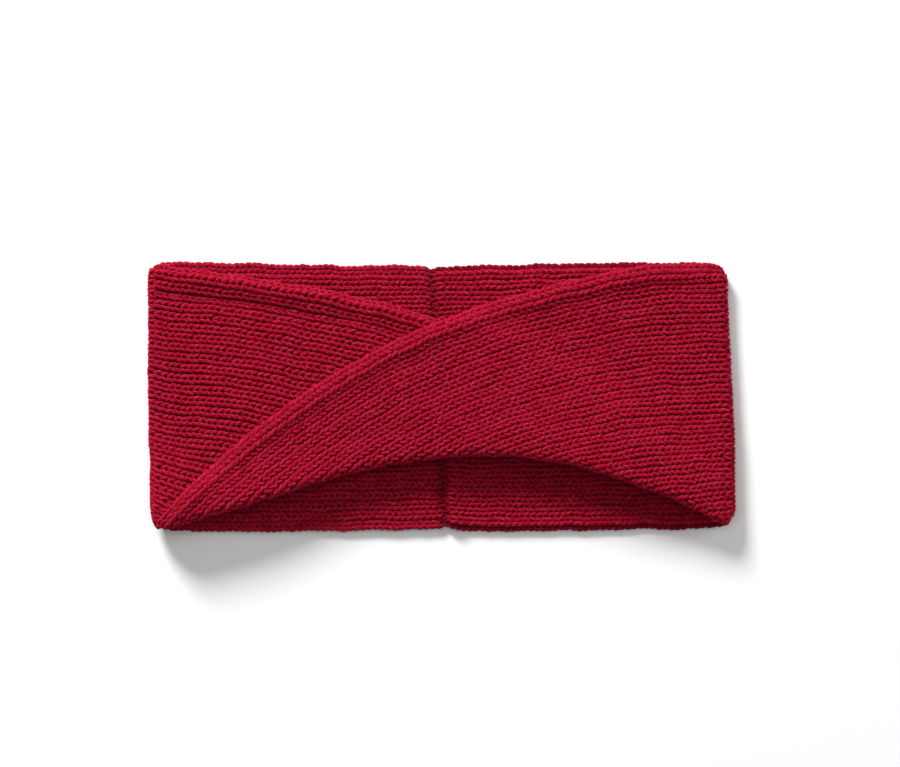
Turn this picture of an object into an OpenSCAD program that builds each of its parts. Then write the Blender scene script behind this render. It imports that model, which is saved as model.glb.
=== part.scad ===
// Knitted rib headband with a half twist at the front, lying flat.
// One long strip of rib knit is folded in half at the front, turned over
// and sewn to itself at the back. The strip is cut into seven panels at the
// lines where it bends, so that the flat loop can open into a ring.

/* [Band] */
// Length of the band lying flat, from fold to fold
band_l = 230; // [220:1:240]
// Width of the knitted strip
band_w = 105; // [100:1:110]
// Thickness of one layer of rib knit
knit_t = 3.6; // [3:0.1:4]
// Clearance between panels that lie on each other or meet end to end
panel_gap = 0.3; // [0.2:0.05:0.4]

/* [Twist] */
// Height that the folded lower border rises above the bottom edge
fold_rise = 29.2; // [24:0.2:32]
// Place along the band of the top of that rise
fold_peak_x = 17; // [10:1:24]
// How much faster that rise falls away on the left than on the right
fold_power = 1.3; // [1:0.05:1.5]
// Slope of the crossing edges where they leave the border
edge_slope = 0.4; // [0.3:0.02:0.5]
// How sharply the crossing edges steepen towards the opposite corner
edge_power = 2.8; // [2.4:0.1:3.4]
// Width over which the upper layer eases down past the hidden edge
drape_w = 16; // [10:1:22]

/* [Seam] */
// Width of the sewn seam at the back
seam_w = 6; // [5:0.5:8]
// Depth of the notch that the seam pulls into each border
seam_notch = 1.5; // [0.5:0.1:2]
// Thickness of the yarn that sews the seam
seam_yarn_d = 0.8; // [0.6:0.1:1]
// Distance from one stitch of the seam to the next
seam_pitch = 3.9; // [3:0.1:5]

/* [Hidden] */

knit_red = [0.62, 0.03, 0.14];
seam_red = [0.45, 0.02, 0.10];
yarn_red = [0.72, 0.08, 0.20];

half_l = band_l / 2;
half_w = band_w / 2;
// The loop is a flattened ring of six equal sides, so its bends lie here
bend_x = band_l / 6;
half_gap = panel_gap / 2;

// Heights of the layers, lowest first
back_top = knit_t;
front_low = back_top + panel_gap;
front_top = front_low + knit_t;
layer_step = knit_t + panel_gap;
nose_r = back_top + half_gap;
nose_low = 1;

// The right crossing edge leaves the top border here and runs to the left end
over_start = half_l * 0.69;
over_span = over_start + half_l;
under_span = half_l * 1.94;
under_slope = edge_slope * 0.7;
under_power = edge_power * 1.3;
corner_soft = 4;
// Width of the doubled part over which the upper layer rises to full height
lift_w = 12;
step_w = 2;
hem_r = 1.4;

ring_steps = 14;
flat_steps = 7;
ease_steps = 6;

function clamp01(t) = min(max(t, 0), 1);
function smooth(t) = clamp01(t) * clamp01(t) * (3 - 2 * clamp01(t));

// Distance past a point, rounded off so that an edge leaves the border softly
function eased(d) = (d + sqrt(d * d + 4 * corner_soft * corner_soft)) / 2;

// Height in y of a crossing edge, a distance d past where it leaves the border
function edge_fall(d, span, slope, power) =
    let (t = eased(d) / span)
    half_w - band_w * (slope * t + (1 - slope) * pow(t, power));

// Edge of the upper layer, and edge of the layer that passes under it
function over_edge(x) =
    max(edge_fall(over_start - x, over_span, edge_slope, edge_power), fold_border(x));
function under_edge(x) =
    x < 0 ? edge_fall(half_l + x, under_span, under_slope, under_power) : over_edge(-x);

// Lower border of the front, where the strip is folded onto itself
function fold_border(x) =
    let (reach = x < fold_peak_x ? half_l + fold_peak_x : half_l - fold_peak_x)
    let (turn = max(cos(90 * (x - fold_peak_x) / reach), 0))
    fold_rise * pow(turn, x < fold_peak_x ? fold_power : 1) - half_w;

function upper_border(x) = min(max(over_edge(x), under_edge(x)), half_w);
function doubled_border(x) = min(over_edge(x), under_edge(x));

// Width over which the top comes down from two layers to one
function ease_w(x) = step_w + (drape_w - step_w) * smooth((x + 10) / 30);

// Top of the front at one place: one layer high, or two where it is doubled
function front_height(x, y) =
    let (lift = layer_step * smooth((doubled_border(x) - fold_border(x)) / lift_w))
    front_top + lift * smooth((doubled_border(x) + ease_w(x) - y) / ease_w(x));

// Places across the top at x, set close where it steps down, highest first
function crown_places(x, y0, y1) =
    let (
        edge = min(max(doubled_border(x), y0 + 4), y1 - 8),
        foot = min(edge + ease_w(x), y1 - 4)
    )
    concat(
        [for (i = [0 : flat_steps - 1]) y1 - (y1 - foot) * i / flat_steps],
        [for (i = [0 : ease_steps - 1]) foot - (foot - edge) * i / ease_steps],
        [for (i = [0 : flat_steps]) edge - (edge - y0) * i / flat_steps]
    );

// The front is rounded down to the fold line at each end of the band
function nose_height(x, z) =
    let (d = half_l - abs(x))
    d >= nose_r ? z :
    min(z, nose_r + max(nose_low, sqrt(nose_r * nose_r - pow(nose_r - d, 2))));

// Outline of the front across the band, as one ring of points at x
function front_ring(x) =
    let (
        y0 = fold_border(x),
        y1 = upper_border(x),
        crown = [for (y = crown_places(x, y0 + hem_r, y1 - hem_r))
            [x, y, nose_height(x, front_height(x, y))]],
        z_upper = crown[0][2],
        z_fold = crown[len(crown) - 1][2]
    )
    concat(
        [[x, y0, front_low], [x, y1, front_low]],
        [[x, y1, (front_low + z_upper) / 2]],
        crown,
        [[x, y0, (front_low + z_fold) / 2]]
    );

// Solid skinned over rings that all have the same number of points
module skin(rings) {
    n = len(rings[0]);
    last = len(rings) - 1;
    sides = [for (i = [0 : last - 1])
        for (j = [0 : n - 1])
            let (a = i * n + j, b = i * n + (j + 1) % n)
            each [[a, a + n, b], [b, a + n, b + n]]];
    first_cap = [[for (j = [0 : n - 1]) j]];
    last_cap = [[for (j = [n - 1 : -1 : 0]) last * n + j]];
    polyhedron([for (ring = rings) each ring], concat(sides, first_cap, last_cap));
}

// Front panel between two places, with rings spaced evenly
module front_panel(x0, x1) {
    skin([for (i = [0 : ring_steps]) front_ring(x0 + (x1 - x0) * i / ring_steps)]);
}

// Front panel that ends in the rounded fold; side is 1 for right, -1 for left
module front_side(side) {
    inner = bend_x + half_gap;
    round_start = half_l - nose_r;
    flat = [for (i = [0 : ring_steps]) inner + (round_start - inner) * i / ring_steps];
    nose = [for (a = [30 : 20 : 90]) round_start + nose_r * sin(a)];
    places = concat(flat, nose);
    count = len(places);
    skin([for (i = [0 : count - 1]) side > 0 ? front_ring(places[i])
        : front_ring(-places[count - 1 - i])]);
}

// Flat back panel between two places
module back_panel(x0, x1) {
    translate([x0, -half_w, 0])
        cube([x1 - x0, band_w, back_top]);
}

// Flat back panel whose outer end is the lower half of the rounded fold
module back_side() {
    inner = bend_x + half_gap;
    rotate([90, 0, 0])
        linear_extrude(height = band_w, center = true)
            intersection() {
                union() {
                    translate([inner, 0])
                        square([half_l - nose_r - inner, back_top]);
                    translate([half_l - nose_r, nose_r])
                        circle(r = nose_r, $fn = 64);
                }
                translate([inner, 0])
                    square([half_l - inner, back_top]);
            }
}

module back_panel_right() {
    color(knit_red) back_panel(seam_w / 2 + half_gap, bend_x - half_gap);
}

module back_panel_left() {
    color(knit_red) back_panel(half_gap - bend_x, -seam_w / 2 - half_gap);
}

module back_side_right() {
    color(knit_red) back_side();
}

module back_side_left() {
    color(knit_red) mirror([1, 0, 0]) back_side();
}

module front_side_right() {
    color(knit_red) front_side(1);
}

module front_side_left() {
    color(knit_red) front_side(-1);
}

module front_twist() {
    color(knit_red) front_panel(half_gap - bend_x, bend_x - half_gap);
}

// The two ends of the strip, turned in and sewn, with a notch at each border
module back_seam() {
    seam_l = band_w - 2 * seam_notch;
    color(seam_red)
        translate([-seam_w / 2, -seam_l / 2, 0])
            cube([seam_w + half_gap, seam_l, back_top - seam_yarn_d]);
}

// Row of short stitches across the seam
module seam_yarn() {
    count = floor((band_w - 4 * seam_notch) / seam_pitch);
    stitch_l = seam_w - 1;
    color(yarn_red)
        for (i = [0 : count])
            translate([0, (i - count / 2) * seam_pitch, back_top - seam_yarn_d / 2])
                rotate([0, 90, 0])
                    cylinder(d = seam_yarn_d, h = stitch_l, center = true, $fn = 16);
}

back_panel_right();
back_side_right();
front_side_right();
front_twist();
front_side_left();
back_side_left();
back_panel_left();
back_seam();
seam_yarn();
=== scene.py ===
"""Knitted headband with a half twist, lying flat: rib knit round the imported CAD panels.

The knit is built yarn by yarn. Its sizes are in millimetres, and become metres where Blender or
the frame takes them. The camera, the lights and the floor are in metres.
"""

import math

import bpy
import numpy as np
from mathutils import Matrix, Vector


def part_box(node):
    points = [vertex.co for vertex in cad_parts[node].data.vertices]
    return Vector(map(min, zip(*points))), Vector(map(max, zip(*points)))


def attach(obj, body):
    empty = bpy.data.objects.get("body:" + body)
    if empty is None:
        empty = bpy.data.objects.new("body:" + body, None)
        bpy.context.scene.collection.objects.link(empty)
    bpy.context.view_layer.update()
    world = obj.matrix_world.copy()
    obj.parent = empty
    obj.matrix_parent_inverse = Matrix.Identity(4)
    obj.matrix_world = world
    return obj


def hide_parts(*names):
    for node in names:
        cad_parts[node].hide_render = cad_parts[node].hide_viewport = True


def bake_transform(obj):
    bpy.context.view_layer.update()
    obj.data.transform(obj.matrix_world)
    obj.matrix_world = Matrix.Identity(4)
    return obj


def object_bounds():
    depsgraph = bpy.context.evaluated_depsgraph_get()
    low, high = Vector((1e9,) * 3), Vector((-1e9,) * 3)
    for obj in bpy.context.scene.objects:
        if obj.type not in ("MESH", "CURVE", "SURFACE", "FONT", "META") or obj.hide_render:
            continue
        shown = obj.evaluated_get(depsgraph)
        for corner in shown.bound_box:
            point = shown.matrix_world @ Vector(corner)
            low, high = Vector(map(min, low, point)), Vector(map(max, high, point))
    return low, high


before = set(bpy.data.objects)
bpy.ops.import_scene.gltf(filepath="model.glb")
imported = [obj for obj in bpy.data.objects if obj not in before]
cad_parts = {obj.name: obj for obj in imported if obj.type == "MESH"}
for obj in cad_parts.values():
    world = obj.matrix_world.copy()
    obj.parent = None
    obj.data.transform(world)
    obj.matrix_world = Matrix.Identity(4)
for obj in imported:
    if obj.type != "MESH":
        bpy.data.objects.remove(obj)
cad_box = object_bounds()

MM = 0.001
TAU = 2 * math.pi
SEED = 7
rng = np.random.default_rng(SEED)

# ---- The band's driving sizes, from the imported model's boxes ----
LOW, HIGH = [[c / MM for c in corner] for corner in cad_box]
LENGTH = HIGH[0] - LOW[0]
WIDTH = HIGH[1] - LOW[1]
HALF_L = LENGTH / 2
HALF_W = WIDTH / 2
KNIT_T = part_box("back_side_right")[1][2] / MM
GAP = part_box("front_twist")[0][2] / MM - KNIT_T
STEP = KNIT_T + GAP
FOLD_R = STEP / 2
NOSE = FOLD_R + KNIT_T / 2
FRONT_MID = KNIT_T + GAP + KNIT_T / 2

# ---- The twist's curves, the same as the CAD model's ----
FOLD_RISE = 29.2
FOLD_PEAK_X = 17
FOLD_POWER = 1.3
EDGE_SLOPE, EDGE_POWER = 0.4, 2.8
UNDER_SLOPE, UNDER_POWER = EDGE_SLOPE * 0.7, EDGE_POWER * 1.3
OVER_START = HALF_L * 0.69
OVER_SPAN = OVER_START + HALF_L
UNDER_SPAN = HALF_L * 1.94
CORNER_SOFT = 4
LIFT_W = 12
STEP_W, DRAPE_W = 2, 16
# The lower border's cosine stops just short of its ends, and its turn is never quite 0
TURN_LIMIT = 0.9999
TURN_MIN = 0.01

# ---- How the ribs share the room across the front, and how far its courses slant ----
SLOPE_REACH = 10
ROOM_GAIN = 1.7
ROOM_EASE = 45
SHEAR = 14

# ---- How far the front stands up off the back, at its ends and over its mouth ----
LEFT_PUFF, LEFT_SWELL = 0.6, 6.2
RIGHT_PUFF, RIGHT_SWELL = 0.5, 2.6
MOUTH_PUFF, MOUTH_RIGHT, MOUTH_END = 1.2, 3.6, 1.6
MOUTH_REACH, MOUTH_HALF, MOUTH_FADE = 34, 60, 40

# ---- The borders: their roll, a crease beside the lower one, and the outline's corners ----
ROLL_H, ROLL_AT = 1.7, 3.6
ROLL_DROP, ROLL_EDGE = 0.5, 1.6
ROLL_EASE = 25
CREASE_DEPTH, CREASE_W = 0.9, 1.7
CORNER_R, TOP_LEFT_R = 9.5, 6
SLANT_RIGHT, SLANT_LEFT, SLANT_POWER = 3.0, 1.3, 6
FULL_WIDTH = 1.006
WAIST_UPPER, WAIST_LOWER, WAIST_REACH = 0.020, 0.006, 70
RIGHT_CORNER_UP = 1.6

# ---- The seam: where it lies, the notch in each border, its raised side and its valley ----
SEAM_SHIFT, SEAM_TILT, SEAM_REACH = -1.2, 3.0, 45
SEAM_NOTCH, SEAM_NOTCH_W = 0.02, 2.6
SEAM_RAISED, SEAM_VALLEY = 1.5, 0.35
SEAM_MARGIN = 0.35
SEAM_SQUASH, SEAM_SQUASH_W = 0.45, 1.8

# ---- Unevenness of the cloth: long and short waves across it, up from it and along it ----
LONG_ACROSS, SHORT_ACROSS = 0.36, 0.24
LONG_UP, SHORT_UP = 0.25, 0.12
SHORT_ALONG = 0.12
WAVE_EASE = 20

# ---- The knit: one loop is a rib pitch wide and a course high ----
RIBS = 27
PITCH = WIDTH / RIBS
COURSES = 188
STRIP = 2 * LENGTH
COURSE = STRIP / COURSES
YARN_R = 0.66
LOOP_H = KNIT_T / 2 - 1.22 * YARN_R
LOOP_PHASE = 0.9
LOOP_UNEVEN, YARN_UNEVEN = 0.06, 0.04
BORDER_SWELL, BORDER_REACH = 0.18, 6
BORDER_MARGIN = 0.3
CORD_LIFT, CORD_SWELL = 0.4, 1.06
# Points round the yarn, rings along one loop, and rows of the baked square for one course
SIDES = 6
RINGS = 14
BAKE_ROWS = 4
BAKE_MARGIN, BAKE_END_MARGIN = 0.1, 0.005

# ---- Painted shade in the grooves between the ribs and in the seam, painted light on the borders ----
# Painted shade in the grooves between the ribs: its strength, its variation and its width
GROOVE_SHADE, GROOVE_SHADE_VARY, GROOVE_SHADE_W = 0.26, 0.16, 0.11
GROOVE_STRETCH, GROOVE_STRIDE = 3, 29
# Painted light on the borders of the back and of the front, and how far in it reaches
BACK_BORDER_LIGHT, FRONT_BORDER_LIGHT, BORDER_LIGHT_W = 0.15, 0.6, 4.2
# Painted shade in the seam, and how far it reaches
SEAM_SHADE, SEAM_SHADE_W = 0.7, 2.4
# Places on neighbouring courses lie this far apart, so that no two show the same fibres
YARN_STRIDE = 37.0

# ---- The core: a thin sheet in the middle of the knit, its dark red painted shade ----
CORE_HALF_T = 0.3
CORE_ROWS, CORE_COLUMNS = 61, 109
CORE_END, CORE_BORDER = 0.4, 0.9

# ---- The seam's ridge and its overcast stitches ----
RIDGE_R, RIDGE_WAVE, RIDGE_UNEVEN = 0.95, 0.16, 0.05
RIDGE_END, RIDGE_SINK, RIDGE_RINGS = 1.6, 0.25, 220
SEAM_STITCH = 2.6
SEAM_YARN_R = 0.4
STITCH_END, STITCH_RINGS = 2, 14
STITCH_W, STITCH_H, STITCH_SINK = 1.25, 1.3, 0.02
# Painted shade on the seam's ridge and its stitches: the painted light their yarn keeps
RIDGE_SHADE, STITCH_SHADE = 0.35, 0.55

# Reach of the differences that give the strip's slope, and what keeps a length from being 0
SLOPE_STEP = 0.3
TINY = 1e-12


def smooth(t):
    t = np.clip(t, 0, 1)
    return t * t * (3 - 2 * t)


def rise(t, start, end):
    """Goes smoothly from 0 at the start to 1 at the end, which may lie on either side of it."""
    return smooth((t - start) / (end - start))


def bell(t):
    return np.exp(-t * t)


def hump(t, middle, reach):
    """Is 1 in the middle and dies away on both sides of it."""
    return bell((t - middle) / reach)


# ================= the strip's middle surface =================

def edge_fall(d, span, slope, power):
    """Height of a crossing edge, a distance d past where it leaves the border."""
    t = (d + np.sqrt(d * d + 4 * CORNER_SOFT ** 2)) / 2 / span
    return HALF_W - WIDTH * (slope * t + (1 - slope) * t ** power)


def fold_border(x):
    """Lower border of the front, where the strip is folded onto itself."""
    reach = np.where(x < FOLD_PEAK_X, HALF_L + FOLD_PEAK_X, HALF_L - FOLD_PEAK_X)
    turn = np.clip((x - FOLD_PEAK_X) / reach, -TURN_LIMIT, TURN_LIMIT)
    power = np.where(x < FOLD_PEAK_X, FOLD_POWER, 1)
    return FOLD_RISE * np.cos(math.pi / 2 * turn) ** power - HALF_W


def over_edge(x):
    return np.maximum(edge_fall(OVER_START - x, OVER_SPAN, EDGE_SLOPE, EDGE_POWER), fold_border(x))


def under_edge(x):
    left = edge_fall(HALF_L + x, UNDER_SPAN, UNDER_SLOPE, UNDER_POWER)
    return np.where(x < 0, left, over_edge(-x))


def slope_of(edge, x):
    """Slope of an edge at x, taken over a short stretch of it."""
    return (edge(x + SLOPE_REACH) - edge(x - SLOPE_REACH)) / (2 * SLOPE_REACH)


def rib_share(xn, x, t):
    """Share of the way from the over to the under edge: sloping ribs take more room upright."""
    on_front = rise(HALF_L - np.abs(xn), 0, ROOM_EASE)
    over_slope = slope_of(over_edge, x)
    under_slope = slope_of(under_edge, x) * rise(x, 60, -20)
    over_room = 1 + ROOM_GAIN * (np.sqrt(1 + over_slope ** 2) - 1) * on_front
    under_room = 1 + (np.sqrt(1 + under_slope ** 2) - 1) * on_front
    return (over_room * t + (under_room - over_room) * t * t / 2) / ((over_room + under_room) / 2)


def front_surface(xn, v):
    """Middle of the front at a place xn along the strip and v across it from the upper edge."""
    x = xn - SHEAR * np.cos(math.pi * xn / LENGTH) ** 2 * (1 - 2 * v / WIDTH)
    over, under, fold = over_edge(x), under_edge(x), fold_border(x)
    across = (over + under - 2 * fold) * rib_share(xn, x, v / WIDTH)
    doubled = np.minimum(over, under)
    lift = STEP * smooth((doubled - fold) / LIFT_W)
    turn = np.maximum(lift * NOSE / STEP, TURN_MIN)
    past = across - (over - fold)
    ease = STEP_W + (DRAPE_W - STEP_W) * rise(x, -10, 20)
    # Both layers are measured from the lower border, where the strip turns in a half circle
    y_flat = fold + np.abs(past)
    ramp = smooth((doubled + ease - y_flat) / ease)
    z_flat = FRONT_MID + np.where(past < 0, lift * ramp, 0)
    round_r = lift / 2
    angle = math.pi * np.clip((past + turn) / (2 * turn), 0, 1)
    y_round = fold + turn - round_r * np.sin(angle)
    z_round = FRONT_MID + round_r + round_r * np.cos(angle)
    in_turn = np.abs(past) < turn
    return x, np.where(in_turn, y_round, y_flat), np.where(in_turn, z_round, z_flat)


def puff(x, y):
    """How far the front stands up off the back: springy wool doesn't lie pressed flat."""
    at_left = LEFT_PUFF + LEFT_SWELL * hump(y, -44, 17)
    at_right = RIGHT_PUFF + RIGHT_SWELL * rise(y, 25, -50)
    ends = at_left * rise(x, -8, -70) + at_right * rise(x, 10, 100)
    mouth = MOUTH_PUFF + MOUTH_RIGHT * rise(x, -70, 20) - MOUTH_END * rise(x, 60, 110)
    above_border = np.clip(y - fold_border(x), 0, None)
    past_mouth = np.clip(np.abs(x) - MOUTH_HALF, 0, None)
    return ends + mouth * bell(above_border / MOUTH_REACH) * bell(past_mouth / MOUTH_FADE)


def edge_roll(v):
    """The strip's knitted borders swell a little and turn down at the very edge."""
    e = np.minimum(v, WIDTH - v)
    return ROLL_H * hump(e, ROLL_AT, ROLL_AT) - ROLL_DROP * bell(e / ROLL_EDGE)


def random_waves(count, shortest, longest):
    """Waves at random slants: their rates along and across the strip, and a phase, in radians."""
    waves = []
    for _ in range(count):
        rate = TAU / rng.uniform(shortest, longest)
        slant = rng.uniform(0, TAU)
        waves.append((rate * math.cos(slant), rate * math.sin(slant), rng.uniform(0, TAU)))
    return waves


LONG_WAVES = random_waves(count=6, shortest=60, longest=200)
SHORT_WAVES = random_waves(count=12, shortest=9, longest=26)


def waviness(waves, q, v):
    """A gentle unevenness of the cloth, mostly between -1 and 1."""
    total = sum(np.sin(a * q + b * v + phase) for a, b, phase in waves)
    return total / math.sqrt(len(waves))


def round_corners(x, y):
    """Pulls the band's four square corners in to round ones."""
    r = np.where((x < 0) & (y > 0), TOP_LEFT_R, CORNER_R)
    u = np.clip((np.abs(x) - HALF_L + r) / r, 0, 1)
    w = np.clip((np.abs(y) - HALF_W + r) / r, 0, 1)
    return (x - np.sign(x) * r * u * (1 - np.sqrt(1 - w * w / 2)),
            y - np.sign(y) * r * w * (1 - np.sqrt(1 - u * u / 2)))


def strip_surface(q, v):
    """Middle of the strip at q along it from the seam and v across it: an array of points."""
    q, v = np.broadcast_arrays(np.asarray(q, float), np.asarray(v, float))
    xn = HALF_L - (q - HALF_L)
    fx, fy, fz = front_surface(np.clip(xn, -HALF_L, HALF_L), v)
    on_right = q < HALF_L
    on_left = q > STRIP - HALF_L
    back = on_right | on_left
    x = np.where(on_right, q, np.where(on_left, q - STRIP, fx))
    y = np.where(on_right, HALF_W - v, np.where(on_left, v - HALF_W, fy))
    stand = puff(x, y) + edge_roll(v) * rise(HALF_L - np.abs(x), 0, ROLL_EASE)
    crease = CREASE_DEPTH * hump(WIDTH - v, 3 * PITCH, CREASE_W) * rise(x, -5, -55)
    z = np.where(back, KNIT_T / 2, fz + stand - crease)
    # Past the start of a fold the strip runs round a half circle
    to_fold = np.where(q < STRIP / 2, q - HALF_L, STRIP - HALF_L - q)
    side = np.where(q < STRIP / 2, 1, -1)
    radius = FOLD_R + puff(side * HALF_L, y) / 2
    half_arc = radius * math.pi / 2
    angle = np.clip(to_fold / half_arc, -1, 1) * math.pi / 2
    folding = np.abs(to_fold) < half_arc
    reach = half_arc - FOLD_R * (math.pi / 2 - 1)
    x = np.where(folding, side * (HALF_L - half_arc + reach * np.cos(angle)), x)
    lifted = np.where(back, 0, fz - FRONT_MID)
    z = np.where(folding, KNIT_T / 2 + radius + radius * np.sin(angle) + lifted, z)
    # The corners are rounded and the ends slant; the borders draw in at the middle
    x, y = round_corners(x, y)
    share = np.abs(x) / HALF_L
    slant = np.where(x > 0, SLANT_RIGHT * rise(y, -30, 50), SLANT_LEFT * rise(y, 5, -50))
    x = x - side * slant * share ** SLANT_POWER
    y = y * (FULL_WIDTH - np.where(y > 0, WAIST_UPPER, WAIST_LOWER) * bell(x / WAIST_REACH))
    y = y + RIGHT_CORNER_UP * rise(x, 30, 115) * rise(y, 0, -HALF_W)
    # The seam pulls both borders in, and one of its sides stands above the other
    seam_shift = SEAM_SHIFT - SEAM_TILT * y / HALF_W
    near_seam = np.where(back, bell(x / SEAM_NOTCH_W), 0)
    y = y * (1 - SEAM_NOTCH * near_seam)
    z = z + np.where(back, SEAM_RAISED * hump(x, 3.2, 2.8) - SEAM_VALLEY * hump(x, -0.6, 1.4), 0)
    x = x + np.where(back, seam_shift * bell(x / SEAM_REACH), 0)
    # The cloth is a little uneven
    long_wave = waviness(LONG_WAVES, q, v)
    short_wave = waviness(SHORT_WAVES, q, v)
    y = y + LONG_ACROSS * long_wave + SHORT_ACROSS * short_wave
    x = x + SHORT_ALONG * waviness(SHORT_WAVES, v, q)
    on_front = rise(np.abs(to_fold) - NOSE, 0, WAVE_EASE)
    z = z + np.where(back, 0, (LONG_UP * long_wave + SHORT_UP * short_wave) * on_front)
    return np.stack([x, y, z], -1)


def strip_frame(q, v):
    """Points of the strip, with the unit vectors that point out of it."""
    along = strip_surface(q + SLOPE_STEP, v) - strip_surface(q - SLOPE_STEP, v)
    across = strip_surface(q, v + SLOPE_STEP) - strip_surface(q, v - SLOPE_STEP)
    out = np.cross(along, across)
    out /= np.linalg.norm(out, axis=-1, keepdims=True)
    return strip_surface(q, v), out


# ================= yarn =================

def spline(points, count):
    """Catmull-Rom curve in even steps from the second point to just before the last but one."""
    p = np.asarray(points, float)
    places = np.linspace(1, len(p) - 2, count, endpoint=False)
    i = np.floor(places).astype(int)
    t = (places - i)[:, None]
    a, b, c, d = p[i - 1], p[i], p[i + 1], p[i + 2]
    return 0.5 * (2 * b + (c - a) * t + (2 * a - 5 * b + 4 * c - d) * t ** 2
                  + (3 * b - a - 3 * c + d) * t ** 3)


# Half of one loop: across in rib pitches, along in courses, out in loop heights, and thickness.
# LOOP_END is on the next loop, past the crossing where this one starts.
LOOP_END = (-0.39, -0.08, -0.40, 0.98)
HALF_LOOP = [
    (-0.25, -0.22, 0.00, 0.92),
    (-0.12, -0.08, 0.42, 0.96),
    (-0.125, 0.14, 0.95, 1.04),
    (-0.19, 0.38, 1.05, 1.12),
    (-0.27, 0.64, 1.03, 1.14),
    (-0.335, 0.90, 0.90, 1.08),
    (-0.34, 1.14, 0.44, 0.98),
    (-0.21, 1.36, 0.00, 0.90),
    (0.00, 1.46, -0.15, 0.86),
]


def loop_shape():
    """One loop from crossing to crossing: across, along, out and thickness at each ring."""
    left = [LOOP_END] + HALF_LOOP
    right = [(-a, b, c, d) for a, b, c, d in reversed(left[:-1])]
    return spline(left + right, RINGS)


def course_centres(course):
    """Middle line of one course of yarn from border to border, with its thickness."""
    shape = loop_shape()
    loops = 2 * RIBS - 1
    j = np.arange(loops)
    face = np.where(j % 2 == 0, 1.0, -1.0)[:, None]
    centre = ((j + 1) * PITCH / 2)[:, None]
    widen = 1 + LOOP_UNEVEN * rng.standard_normal((loops, 1))
    lift = 1 + LOOP_UNEVEN * rng.standard_normal((loops, 1))
    slide = LOOP_UNEVEN * rng.standard_normal((loops, 1))
    v = centre + shape[:, 0] * PITCH * widen
    q = (course + LOOP_PHASE - shape[:, 1] - slide * (shape[:, 1] > 0)) * COURSE
    h = face * shape[:, 2] * LOOP_H * lift
    r = YARN_R * shape[:, 3] * (1 + YARN_UNEVEN * rng.standard_normal((loops, 1)))
    # The knit is fuller towards its borders, and the first and last loops make a round cord
    r = r * (1 + BORDER_SWELL * bell(np.minimum(v, WIDTH - v) / BORDER_REACH))
    outermost = ((j == 0) | (j == loops - 1))[:, None]
    h = np.where(outermost, CORD_LIFT * h, h)
    r = np.where(outermost, CORD_SWELL * r, r)
    return q.ravel(), v.ravel(), h.ravel(), r.ravel()


def yarn_points(q, v, h):
    """Places the yarn's middle line on the strip, squashed towards the seam."""
    q = np.clip(q, SEAM_MARGIN, STRIP - SEAM_MARGIN)
    v = np.clip(v, BORDER_MARGIN, WIDTH - BORDER_MARGIN)
    point, out = strip_frame(q, v)
    to_seam = np.minimum(q, STRIP - q)
    flatten = 1 - SEAM_SQUASH * bell(to_seam / SEAM_SQUASH_W)
    return point + out * (h * flatten)[:, None], out


def tube(centre, out, radius):
    """Rings of points round a middle line, and each point's place on the yarn: turn and length."""
    tangent = np.gradient(centre, axis=0)
    tangent /= np.linalg.norm(tangent, axis=1, keepdims=True) + TINY
    side = np.cross(out, tangent)
    side /= np.linalg.norm(side, axis=1, keepdims=True) + TINY
    up = np.cross(tangent, side)
    a = np.arange(SIDES) / SIDES * TAU
    ring = side[:, None] * np.cos(a)[:, None] + up[:, None] * np.sin(a)[:, None]
    step = np.linalg.norm(np.diff(centre, axis=0), axis=1)
    length = np.concatenate([[0], np.cumsum(step)])
    place = np.zeros((len(centre), SIDES, 3))
    place[:, :, 0] = np.cos(a)
    place[:, :, 1] = np.sin(a)
    place[:, :, 2] = length[:, None]
    return centre[:, None] + ring * radius[:, None, None], place


def tube_faces(rings, start):
    """Quads of an open tube of that many rings, whose first point has the number start."""
    i = np.arange(rings - 1)[:, None] * SIDES
    j = np.arange(SIDES)
    k = (j + 1) % SIDES
    quads = np.stack([i + j, i + k, i + SIDES + k, i + SIDES + j], -1).reshape(-1, 4)
    return quads + start


def bake_corners(rings, course, courses):
    """Where a tube's quads lie in the square that its colours are baked to, a few rows a course."""
    quads = rings - 1
    per_row = math.ceil(quads / BAKE_ROWS)
    i = np.arange(quads)
    left = (i % per_row)[:, None] / per_row
    right = left + 1 / per_row
    row = (course * BAKE_ROWS + i // per_row)[:, None]
    low = np.arange(SIDES) / SIDES
    high = low + 1 / SIDES
    u = np.stack([left + 0 * low, left + 0 * low, right + 0 * low, right + 0 * low], -1)
    w = np.stack([low + 0 * left, high + 0 * left, high + 0 * left, low + 0 * left], -1)
    w = (row[:, :, None] + BAKE_MARGIN + (1 - 2 * BAKE_MARGIN) * w) / (courses * BAKE_ROWS)
    u = BAKE_END_MARGIN + (1 - 2 * BAKE_END_MARGIN) * u
    return np.stack([u, w], -1).reshape(-1, 2)


def make_mesh(name, points, quads, marks, material, corners=None):
    """Smooth-shaded mesh object from points in millimetres and quads, with marks on its points."""
    mesh = bpy.data.meshes.new(name)
    mesh.vertices.add(len(points))
    mesh.vertices.foreach_set("co", (points * MM).astype(np.float32).ravel())
    mesh.loops.add(quads.size)
    mesh.loops.foreach_set("vertex_index", quads.astype(np.int32).ravel())
    mesh.polygons.add(len(quads))
    mesh.polygons.foreach_set("loop_start", np.arange(len(quads), dtype=np.int32) * 4)
    mesh.polygons.foreach_set("use_smooth", np.ones(len(quads), bool))
    mesh.update(calc_edges=True)
    for key, values in marks.items():
        kind, field = ("FLOAT", "value") if values.ndim == 1 else ("FLOAT_VECTOR", "vector")
        attribute = mesh.attributes.new(key, kind, "POINT")
        attribute.data.foreach_set(field, values.astype(np.float32).ravel())
    if corners is not None:
        layer = mesh.uv_layers.new(name="OFBake")
        layer.uv.foreach_set("vector", corners.astype(np.float32).ravel())
    mesh.materials.append(material)
    obj = bpy.data.objects.new(name, mesh)
    bpy.context.scene.collection.objects.link(obj)
    return obj


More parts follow.
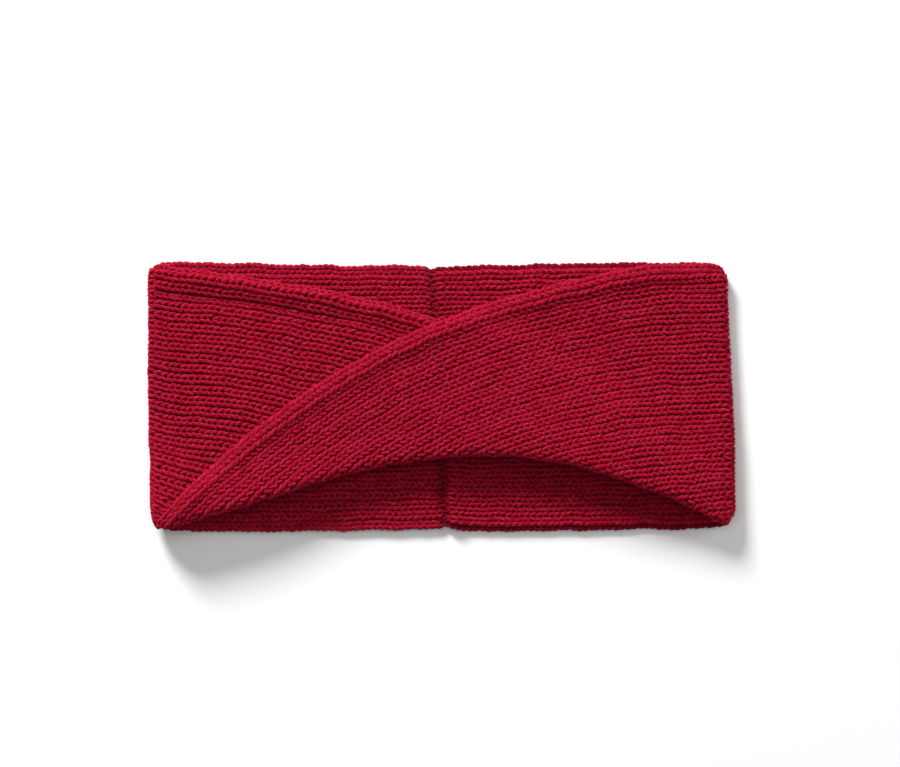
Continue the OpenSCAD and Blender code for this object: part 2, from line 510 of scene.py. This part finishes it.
def knit_piece(name, first, last, material):
    """All the yarn of the courses from first up to last, and each point's place along the strip."""
    points, quads, places, painted_light, strip_q, corners = [], [], [], [], [], []
    start = 0
    for course in range(first, last):
        q, v, h, r = course_centres(course)
        centre, out = yarn_points(q, v, h)
        centre[:, 2] = np.maximum(centre[:, 2], r)
        rings, place = tube(centre, out, r)
        points.append(rings.reshape(-1, 3))
        quads.append(tube_faces(len(centre), start))
        corners.append(bake_corners(len(centre), course - first, last - first))
        place[:, :, 2] += YARN_STRIDE * course
        places.append(place.reshape(-1, 3))
        # Painted shade: the nearer the yarn lies to the knit's middle, the darker its colour
        height = np.abs(h[:, None] + r[:, None] * place[:, :, 1]) / (KNIT_T / 2)
        # Painted shade darkens the grooves between the ribs of each face, some more than others
        rib = v / PITCH + np.where(h > 0, 0, 0.5)
        nearest = np.round(rib)
        vary = waviness(SHORT_WAVES, q / GROOVE_STRETCH, GROOVE_STRIDE * nearest)
        groove_shade = GROOVE_SHADE + GROOVE_SHADE_VARY * vary
        height = height - (groove_shade * hump(rib, nearest, GROOVE_SHADE_W))[:, None]
        # Painted light brightens the borders, and painted shade darkens the yarn near the seam
        border_light = bell(np.minimum(v, WIDTH - v) / BORDER_LIGHT_W)[:, None]
        to_seam = np.minimum(q, STRIP - q)[:, None]
        border_light = border_light * np.where(to_seam < HALF_L, BACK_BORDER_LIGHT, FRONT_BORDER_LIGHT)
        painted_seam_shade = 1 - SEAM_SHADE * bell(to_seam / SEAM_SHADE_W)
        painted_light.append((np.clip(height + border_light, 0, 1) * painted_seam_shade).ravel())
        strip_q.append(np.repeat(q, SIDES))
        start += len(centre) * SIDES
    marks = {"yarn_place": np.concatenate(places), "yarn_painted_light": np.concatenate(painted_light)}
    corners = np.concatenate(corners)
    obj = make_mesh(name, np.concatenate(points), np.concatenate(quads), marks, material, corners)
    return obj, np.concatenate(strip_q)


# ================= materials =================

# Painted shade: the dark red of the core sheet seen through the knit's holes
CORE_SHADE_RED = (0.08, 0.0002, 0.002)
DARK_RED = (0.26, 0.0004, 0.007)
MID_RED = (0.415, 0.0010, 0.021)
LIGHT_RED = (0.55, 0.029, 0.079)
PAPER_WHITE = (0.94, 0.94, 0.94)
GRAIN_SCALE, PATCH_SCALE = 1900, 300
FIBRE_DRAW, FIBRE_TWIST, FIBRE_SCALE = 0.5, 2.2, 2.4
# How much the grain, the fibres and the patches count in the colour, and in the bumps
GRAIN_TONE, FIBRE_TONE, PATCH_TONE, TONE_OFFSET = 1.9, 0.9, 0.3, -1.05
GRAIN_BUMP, FIBRE_BUMP = 0.6, 0.6
WOOL = {
    "Roughness": 0.85,
    "Specular IOR Level": 0.03,
    "Sheen Weight": 0.03,
    "Sheen Roughness": 0.5,
    "Sheen Tint": (1.0, 0.3, 0.4, 1),
    "Subsurface Weight": 0.5,
    "Subsurface Radius": (1.0, 0.14, 0.2),
    "Subsurface Scale": 0.0012,
}
# Painted shade on the yarn: its colour in full past the higher painted light, and this share of it
# up to the lower one
YARN_SHADE = {"From Min": 0.25, "From Max": 0.75, "To Min": 0.49}


def node_tools(material):
    """The material's empty node tree, and a function that adds a node and fills in its settings."""
    material.use_nodes = True
    tree = material.node_tree
    tree.nodes.clear()

    def new(kind, **settings):
        node = tree.nodes.new(kind)
        for key, value in settings.items():
            if key in node.inputs:
                node.inputs[key].default_value = value
            else:
                setattr(node, key, value)
        return node

    return tree, new


def fibre_streaks(tree, new):
    """Noise drawn out along the yarn and wound round it, as its twisted fibres lie."""
    link = tree.links.new
    place = new("ShaderNodeAttribute", attribute_name="yarn_place")
    parts = new("ShaderNodeSeparateXYZ")
    link(place.outputs["Vector"], parts.inputs[0])
    drawn_out = new("ShaderNodeVectorMath", operation="MULTIPLY")
    link(place.outputs["Vector"], drawn_out.inputs[0])
    drawn_out.inputs[1].default_value = (1, 1, FIBRE_DRAW)
    turn = new("ShaderNodeMath", operation="MULTIPLY")
    link(parts.outputs["Z"], turn.inputs[0])
    turn.inputs[1].default_value = FIBRE_TWIST
    wound = new("ShaderNodeVectorRotate", rotation_type="Z_AXIS")
    link(drawn_out.outputs[0], wound.inputs["Vector"])
    link(turn.outputs[0], wound.inputs["Angle"])
    streaks = new("ShaderNodeTexNoise", Scale=FIBRE_SCALE, Detail=3, Roughness=0.65)
    link(wound.outputs[0], streaks.inputs["Vector"])
    return streaks.outputs["Fac"]


def speckle(tree, new, scale):
    """Even noise through space, its grain a fraction 1 / scale of a metre."""
    coords = new("ShaderNodeTexCoord")
    noise = new("ShaderNodeTexNoise", Scale=scale, Detail=4, Roughness=0.7)
    tree.links.new(coords.outputs["Object"], noise.inputs["Vector"])
    return noise.outputs["Fac"]


def weighted(tree, new, parts, offset):
    """Sum of sockets times their weights, plus an offset."""
    total = None
    for socket, weight in parts:
        step = new("ShaderNodeMath", operation="MULTIPLY_ADD")
        tree.links.new(socket, step.inputs[0])
        step.inputs[1].default_value = weight
        if total is None:
            step.inputs[2].default_value = offset
        else:
            tree.links.new(total, step.inputs[2])
        total = step.outputs[0]
    return total


def wool_ramp(new, dark, mid, light):
    """Colours of the wool, from its darkest fibres to its lightest."""
    ramp = new("ShaderNodeValToRGB")
    low, high = ramp.color_ramp.elements
    low.position, low.color = 0.28, (*dark, 1)
    high.position, high.color = 0.72, (*light, 1)
    ramp.color_ramp.elements.new(0.5).color = (*mid, 1)
    return ramp


def wool_material(name, dark, mid, light, is_yarn):
    """Wool: mottled fibres with a faint sheen, and where it is yarn, painted shade deep in the
    knit.
    """
    material = bpy.data.materials.new(name)
    tree, new = node_tools(material)
    link = tree.links.new
    output = new("ShaderNodeOutputMaterial")
    shader = new("ShaderNodeBsdfPrincipled", **WOOL)
    link(shader.outputs[0], output.inputs[0])
    grain = speckle(tree, new, GRAIN_SCALE)
    patches = speckle(tree, new, PATCH_SCALE)
    streaks = fibre_streaks(tree, new) if is_yarn else grain
    tones = [(grain, GRAIN_TONE), (streaks, FIBRE_TONE), (patches, PATCH_TONE)]
    ramp = wool_ramp(new, dark, mid, light)
    link(weighted(tree, new, tones, TONE_OFFSET), ramp.inputs[0])
    colour = ramp.outputs[0]
    if is_yarn:
        # Painted shade: the colour is multiplied down where the painted-light mark is low
        painted_light = new("ShaderNodeAttribute", attribute_name="yarn_painted_light")
        shown = new("ShaderNodeMapRange", interpolation_type="SMOOTHSTEP", **YARN_SHADE)
        link(painted_light.outputs["Fac"], shown.inputs["Value"])
        shade = new("ShaderNodeMix", data_type="RGBA", blend_type="MULTIPLY")
        shade.inputs["Factor"].default_value = 1
        link(colour, shade.inputs["A"])
        link(shown.outputs[0], shade.inputs["B"])
        colour = shade.outputs["Result"]
    link(colour, shader.inputs["Base Color"])
    bump = new("ShaderNodeBump", Strength=1.0, Distance=0.0009)
    bumps = [(grain, GRAIN_BUMP), (streaks, FIBRE_BUMP)]
    link(weighted(tree, new, bumps, 0), bump.inputs["Height"])
    link(bump.outputs[0], shader.inputs["Normal"])
    return material


# ================= camera, light and floor =================

CAMERA_HEIGHT = 1.6
VIEW_WIDTH = 0.3545
VIEW_CENTRE = (0.0033, 0.0053)
FLOOR_HALF = 3.0


def stage():
    """White floor under the band."""
    mesh = bpy.data.meshes.new("floor")
    corners = [(-1, -1), (1, -1), (1, 1), (-1, 1)]
    points = [(x * FLOOR_HALF, y * FLOOR_HALF, 0) for x, y in corners]
    mesh.from_pydata(points, [], [(0, 1, 2, 3)])
    floor = bpy.data.objects.new("floor", mesh)
    bpy.context.scene.collection.objects.link(floor)
    paper = bpy.data.materials.new("paper")
    tree, new = node_tools(paper)
    shader = new("ShaderNodeBsdfPrincipled", Roughness=0.9)
    shader.inputs["Base Color"].default_value = (*PAPER_WHITE, 1)
    output = new("ShaderNodeOutputMaterial")
    tree.links.new(shader.outputs[0], output.inputs[0])
    mesh.materials.append(paper)


def area_light(name, place, size, power):
    """Round soft light, aimed at the band."""
    light = bpy.data.lights.new(name, "AREA")
    light.shape = "DISK"
    light.size = size
    light.energy = power
    obj = bpy.data.objects.new(name, light)
    obj.location = place
    aim = -obj.location.normalized()
    obj.rotation_euler = aim.to_track_quat("-Z", "Y").to_euler()
    bpy.context.scene.collection.objects.link(obj)


def world_light(strength):
    """Even white light from all round."""
    world = bpy.data.worlds.new("studio")
    bpy.context.scene.world = world
    world.use_nodes = True
    background = world.node_tree.nodes["Background"]
    background.inputs["Color"].default_value = (1, 1, 1, 1)
    background.inputs["Strength"].default_value = strength


def camera():
    """Looks straight down with the band's length across the picture."""
    data = bpy.data.cameras.new("camera")
    data.lens = data.sensor_width * CAMERA_HEIGHT / VIEW_WIDTH
    obj = bpy.data.objects.new("camera", data)
    obj.location = (*VIEW_CENTRE, CAMERA_HEIGHT)
    bpy.context.scene.collection.objects.link(obj)
    bpy.context.scene.camera = obj


camera()
stage()
world_light(strength=0.14)
area_light("key", (-0.76, 1.54, 0.98), size=0.68, power=58)
area_light("overhead", (-0.1, 0.15, 1.5), size=1.1, power=6)
area_light("fill", (1.3, 0.5, 0.6), size=0.9, power=7)
bpy.context.scene.view_settings.view_transform = "Standard"

# ================= the knit, zone by zone =================

def core_piece(name, first, last, material):
    """Thin closed sheet in the middle of the knit, between the loops: its dark red is painted shade
    seen through the holes.
    """
    start = max(first * COURSE, CORE_END)
    end = min(last * COURSE, STRIP - CORE_END)
    q = np.linspace(start, end, CORE_ROWS)
    v = np.linspace(CORE_BORDER, WIDTH - CORE_BORDER, CORE_COLUMNS)
    point, out = strip_frame(q[:, None], v[None, :])
    upper = (point + CORE_HALF_T * out).reshape(-1, 3)
    lower = (point - CORE_HALF_T * out).reshape(-1, 3)
    index = np.arange(CORE_ROWS * CORE_COLUMNS).reshape(CORE_ROWS, CORE_COLUMNS)
    corners = [index[:-1, :-1], index[1:, :-1], index[1:, 1:], index[:-1, 1:]]
    quad = np.stack(corners, -1).reshape(-1, 4)
    border = np.concatenate([index[0, :], index[1:, -1], index[-1, -2::-1], index[-2:0:-1, 0]])
    after = np.roll(border, -1)
    under = len(upper)
    rim = np.stack([border, after, after + under, border + under], -1)
    quads = np.concatenate([quad, quad[:, ::-1] + under, rim])
    obj = make_mesh(name, np.concatenate([upper, lower]), quads, {}, material)
    return obj, np.tile(np.repeat(q, CORE_COLUMNS), 2)


def bend(obj):
    """Bakes a piece of the knit's place into its points."""
    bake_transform(obj)


def seam_points(y):
    """Middle of the seam at a height y up the band."""
    right = strip_surface(SEAM_MARGIN, HALF_W - y)
    left = strip_surface(STRIP - SEAM_MARGIN, y + HALF_W)
    return (right + left) / 2


def seam_tube(name, centre, radius, shade, material):
    """One length of yarn along the seam, carried by the right back panel."""
    up = np.zeros_like(centre)
    up[:, 2] = 1
    rings, place = tube(centre, up, radius)
    # Painted shade: one darkened value along the whole length
    painted_light = np.full(rings.shape[0] * SIDES, shade)
    marks = {"yarn_place": place.reshape(-1, 3), "yarn_painted_light": painted_light}
    quads = tube_faces(len(centre), 0)
    corners = bake_corners(len(centre), 0, 1)
    obj = make_mesh(name, rings.reshape(-1, 3), quads, marks, material, corners)
    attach(obj, "back_right")
    return obj


def seam_allowance(material):
    """The joined edges of the two ends, felted together into one low ridge."""
    y = np.linspace(HALF_W - RIDGE_END, RIDGE_END - HALF_W, RIDGE_RINGS)
    centre = seam_points(y)
    centre[:, 2] -= RIDGE_SINK
    uneven = RIDGE_UNEVEN * rng.standard_normal(len(y))
    radius = RIDGE_R + RIDGE_WAVE * np.sin(TAU * y / SEAM_STITCH) + uneven
    return seam_tube("seam_ridge", centre, radius, RIDGE_SHADE, material)


def seam_stitches(material):
    """Overcast yarn that winds over the ridge from one border to the other."""
    length = WIDTH - 2 * STITCH_END
    turns = round(length / SEAM_STITCH)
    phase = np.linspace(0, TAU * turns, STITCH_RINGS * turns)
    y = HALF_W - STITCH_END - length * phase / phase[-1]
    centre = seam_points(y)
    centre[:, 0] += STITCH_W * np.cos(phase)
    centre[:, 2] += STITCH_H * np.sin(phase) - STITCH_SINK
    radius = np.full(len(y), SEAM_YARN_R)
    return seam_tube("seam_stitches", centre, radius, STITCH_SHADE, material)


# Each zone runs between the middles of two panels and bends over one joint: its name, its two
# bodies, and how far the bend reaches before and after the joint. The back lies on the floor,
# so its two bends keep to the sides that lift off.
ZONES = [
    ("back_right", "back_right", "side_back_right", 5, 20),
    ("fold_right", "side_back_right", "side_front_right", 28, 28),
    ("front_right", "side_front_right", "twist", 23, 23),
    ("front_left", "twist", "side_front_left", 23, 23),
    ("fold_left", "side_front_left", "side_back_left", 28, 28),
    ("back_left", "side_back_left", "back_left", 20, 5),
]
knit_red = wool_material("rib_knit", DARK_RED, MID_RED, LIGHT_RED, True)
# The core's dark red is painted shade
core_shade_red = wool_material("knit_core_shade", CORE_SHADE_RED, CORE_SHADE_RED, DARK_RED, False)
for number, zone in enumerate(ZONES):
    name = zone[0]
    first = round(number * COURSES / len(ZONES))
    last = round((number + 1) * COURSES / len(ZONES))
    middle = (first + last) // 2
    for part, (c0, c1) in enumerate([(first, middle), (middle, last)]):
        obj, strip_q = knit_piece(f"knit_{name}_{part + 1}", c0, c1, knit_red)
        bend(obj)
    core, strip_q = core_piece(f"core_{name}", first, last, core_shade_red)
    bend(core)
ridge = seam_allowance(knit_red)
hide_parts("back_seam")
stitches = seam_stitches(knit_red)
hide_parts("seam_yarn")
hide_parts("back_panel_right")
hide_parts("back_side_right", "front_side_right")
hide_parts("front_twist")
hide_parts("front_side_left", "back_side_left")
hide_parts("back_panel_left")
